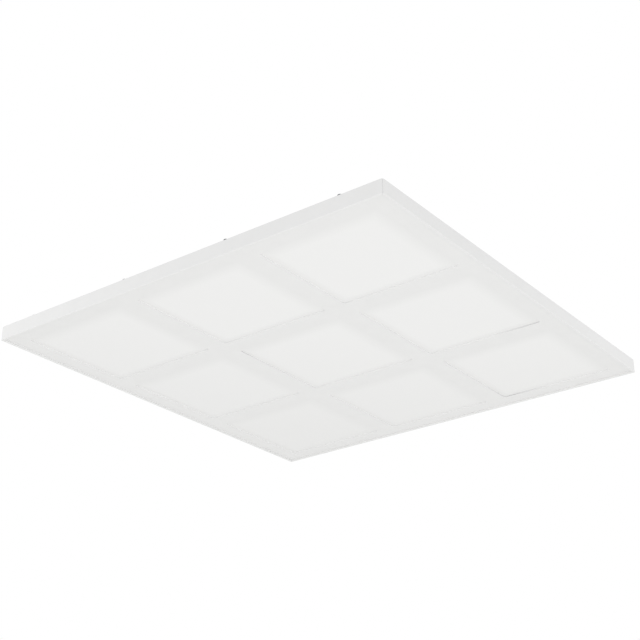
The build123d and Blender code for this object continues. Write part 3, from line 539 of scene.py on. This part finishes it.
def moulded_bead(middle, half, along, count=13, around=20):
    """A rounded bar: its section is an ellipse, shrunk towards both ends by the fourth root of
    1 - t^4, where t runs from -1 to 1 along the chosen axis."""
    near_end = 0.999
    t = np.linspace(-near_end, near_end, count)
    size = (1 - t**4) ** 0.25
    angle = np.linspace(0, 2 * np.pi, around, endpoint=False)
    rings = np.empty((count, around, 3))
    side, top = [axis for axis in range(3) if axis != along]
    rings[..., along] = t[:, None]
    rings[..., side] = size[:, None] * np.cos(angle)
    rings[..., top] = size[:, None] * np.sin(angle)
    return shell(rings * np.array(half) + np.array(middle))


# Cooling ribs moulded on the long sides of the driver's cover
rib_count, rib_pitch = 15, 7.0 * MM
rib_steps = (np.arange(rib_count) - (rib_count - 1) / 2) * rib_pitch
rib_middle = plate_top + 16.5 * MM
rib_half = (0.9 * MM, 0.9 * MM, 5.0 * MM)
ribs = [
    moulded_bead((x, s * driver_side, rib_middle), rib_half, along=2)
    for x in rib_steps
    for s in (-1, 1)
]
piece("driver_side_ribs", ribs, "panel", "case_white")

# Finger ridges on the free end of each terminal cover
ridge_levels = [plate_top + height * MM for height in (16.5, 18.5, 20.5)]
ridge_half = (0.7 * MM, 9 * MM, 0.6 * MM)
for s, body in ((-1, "mains_cover"), (1, "output_cover")):
    ridges = [
        moulded_bead((s * driver_end, 0, level), ridge_half, along=1) for level in ridge_levels
    ]
    piece(f"{body}_ridges", ridges, body, "case_white")


def slotted_head(x, y, level, radius=2.3 * MM, height=0.9 * MM, slot_half=0.45 * MM, around=64):
    """A slotted screw head, worked out in rings round its axis. The rings climb the side, turn in
    over the rounded rim and cross the top, where the height drops by half within the slot."""
    top_rings, top_climb, slot_floor = 11, 0.9, 0.5
    share = np.concatenate([[1.0, 1.0, 0.97], np.linspace(0.9, 0.04, top_rings)])
    climb = np.concatenate([[0.0, 0.8, 0.97], np.ones(top_rings)])
    angle = np.linspace(0, 2 * np.pi, around, endpoint=False)
    across = radius * share[:, None] * np.cos(angle)
    along = radius * share[:, None] * np.sin(angle)
    inside = (np.abs(across) < slot_half) & (climb[:, None] > top_climb)
    rise = height * np.where(inside, slot_floor, climb[:, None])
    return shell(np.stack([x + across, y + along, level + rise], -1))


# Wire screws of the terminal blocks
mains_poles = [(-terminal_middle, k * pole_pitch) for k in (-1, 0, 1)]
output_poles = [(terminal_middle, k * pole_pitch) for k in (-0.5, 0.5)]
heads = [slotted_head(x, y, terminal_top) for x, y in mains_poles + output_poles]
piece("terminal_wire_screws", heads, "panel", "bright_screw")


def lead_core(points, radius, count=28, around=14):
    """A round wire along a cubic Bezier curve, whose four points carry the weights (1 - t)^3,
    3t(1 - t)^2, 3t^2(1 - t) and t^3. Its rings stand square to the curve's direction."""
    t = np.linspace(0, 1, count)[:, None]
    weights = np.hstack([(1 - t) ** 3, 3 * t * (1 - t) ** 2, 3 * t**2 * (1 - t), t**3])
    line = weights @ np.array(points)
    ahead = np.gradient(line, axis=0)
    ahead /= np.linalg.norm(ahead, axis=1, keepdims=True)
    side = np.cross(ahead, (0, 0, 1))
    side /= np.linalg.norm(side, axis=1, keepdims=True)
    top = np.cross(side, ahead)
    angle = np.linspace(0, 2 * np.pi, around, endpoint=False)[None, :, None]
    ring = np.cos(angle) * side[:, None] + np.sin(angle) * top[:, None]
    return shell(line[:, None] + radius * ring)


# The output lead's two cores, from the end of its sheath into the terminal's holes
core_radius = 0.8 * MM
core_offset = 0.9 * MM
tucked_in_sheath = 2 * MM
tucked_in_pole = 3 * MM
straight_run = 6 * MM
cores = (("output_core_white", 1, "lead_white"), ("output_core_dark", -1, "grommet_rubber"))
for name, s, slot_name in cores:
    sheath_y, pole_y = s * core_offset, s * pole_pitch / 2
    route = [
        (lead_start + tucked_in_sheath, sheath_y, lead_level),
        (lead_start - straight_run, sheath_y, lead_level),
        (terminal_face + straight_run, pole_y, pole_level),
        (terminal_face - tucked_in_pole, pole_y, pole_level),
    ]
    piece(name, [lead_core(route, core_radius)], "panel", slot_name)


def seen_directly(tree):
    """1 for rays from the camera, off gloss or through glass, and 0 for the rest."""
    path = add(tree, "ShaderNodeLightPath", {}).outputs
    both = add(
        tree,
        "ShaderNodeMath",
        {0: path["Is Camera Ray"], 1: path["Is Glossy Ray"]},
        operation="MAXIMUM",
    )
    return add(
        tree, "ShaderNodeMath", {0: both, 1: path["Is Transmission Ray"]}, operation="MAXIMUM"
    )


def pale_floor_paint():
    """Pale matt paint, which glows enough to show as plain white where it is seen."""
    speckle_size, glow = 30 * MM, 0.29
    made, tree, place = new_material("pale_floor_paint")
    grain = lumps(tree, place, speckle_size, detail=3.0)
    speckle = add(tree, "ShaderNodeMapRange", {"Value": grain, **lump_range})
    pale = add(
        tree, "ShaderNodeMix", {"Factor": speckle, "A": "#EFEFEE", "B": "#ECECEA"}, data_type="RGBA"
    )
    matt = add(tree, "ShaderNodeBsdfDiffuse", {"Color": pale})
    white = add(tree, "ShaderNodeEmission", {"Color": "#FFFFFF", "Strength": glow})
    lit = add(tree, "ShaderNodeAddShader", {0: matt, 1: white})
    shown = add(tree, "ShaderNodeMixShader", {0: seen_directly(tree), 1: matt, 2: lit})
    add(tree, "ShaderNodeOutputMaterial", {"Surface": shown})
    return made


# Floor: the pale floor of a room, one storey under the panel
floor_half = 40.0
floor_level = -2.4
corners = floor_half * np.array([(-1, -1, 0), (1, -1, 0), (1, 1, 0), (-1, 1, 0)])
floor_mesh = bpy.data.meshes.new("floor")
floor_mesh.from_pydata((corners + (0, 0, floor_level)).tolist(), [], [(0, 1, 2, 3)])
floor_mesh.materials.append(pale_floor_paint())
floor = bpy.data.objects.new("floor", floor_mesh)
scene.collection.objects.link(floor)

# World: white where it is seen, and a little lower as light
ambient = 0.86
world = bpy.data.worlds.new("studio")
scene.world = world
world.use_nodes = True
sky = world.node_tree
sky.nodes.clear()
level = add(sky, "ShaderNodeMapRange", {"Value": seen_directly(sky), "To Min": ambient})
backdrop = add(sky, "ShaderNodeBackground", {"Color": "#FFFFFF", "Strength": level})
add(sky, "ShaderNodeOutputWorld", {"Surface": backdrop})


def softbox(name, place, aim, size, power):
    """A square lamp that faces aim and isn't seen by the camera."""
    lamp = bpy.data.lights.new(name, "AREA")
    lamp.size = size
    lamp.energy = power
    holder = bpy.data.objects.new(name, lamp)
    toward = (Vector(aim) - Vector(place)).to_track_quat("-Z", "Y").to_matrix().to_4x4()
    holder.matrix_world = Matrix.Translation(place) @ toward
    holder.visible_camera = False
    scene.collection.objects.link(holder)


# Lights: one below, one by the camera, one at the far end of each near rail, and one above
panel_middle = (0, 0, 0)
left_rail_aim = (-panel_half, 0.25, 0.01)
front_rail_aim = (0.15, -panel_half, 0.01)
softbox("low_light", (-0.30, -0.30, -1.80), panel_middle, size=1.4, power=8.0)
softbox("near_light", (-1.30, -1.15, -0.55), panel_middle, size=1.4, power=3.5)
softbox("left_light", (-0.95, 0.70, 0.06), left_rail_aim, size=0.5, power=1.25)
softbox("front_light", (0.55, -1.00, 0.05), front_rail_aim, size=0.6, power=0.85)
softbox("top_light", (-0.30, -0.30, 2.20), panel_middle, size=1.6, power=5.0)

scene.view_settings.view_transform = "Standard"
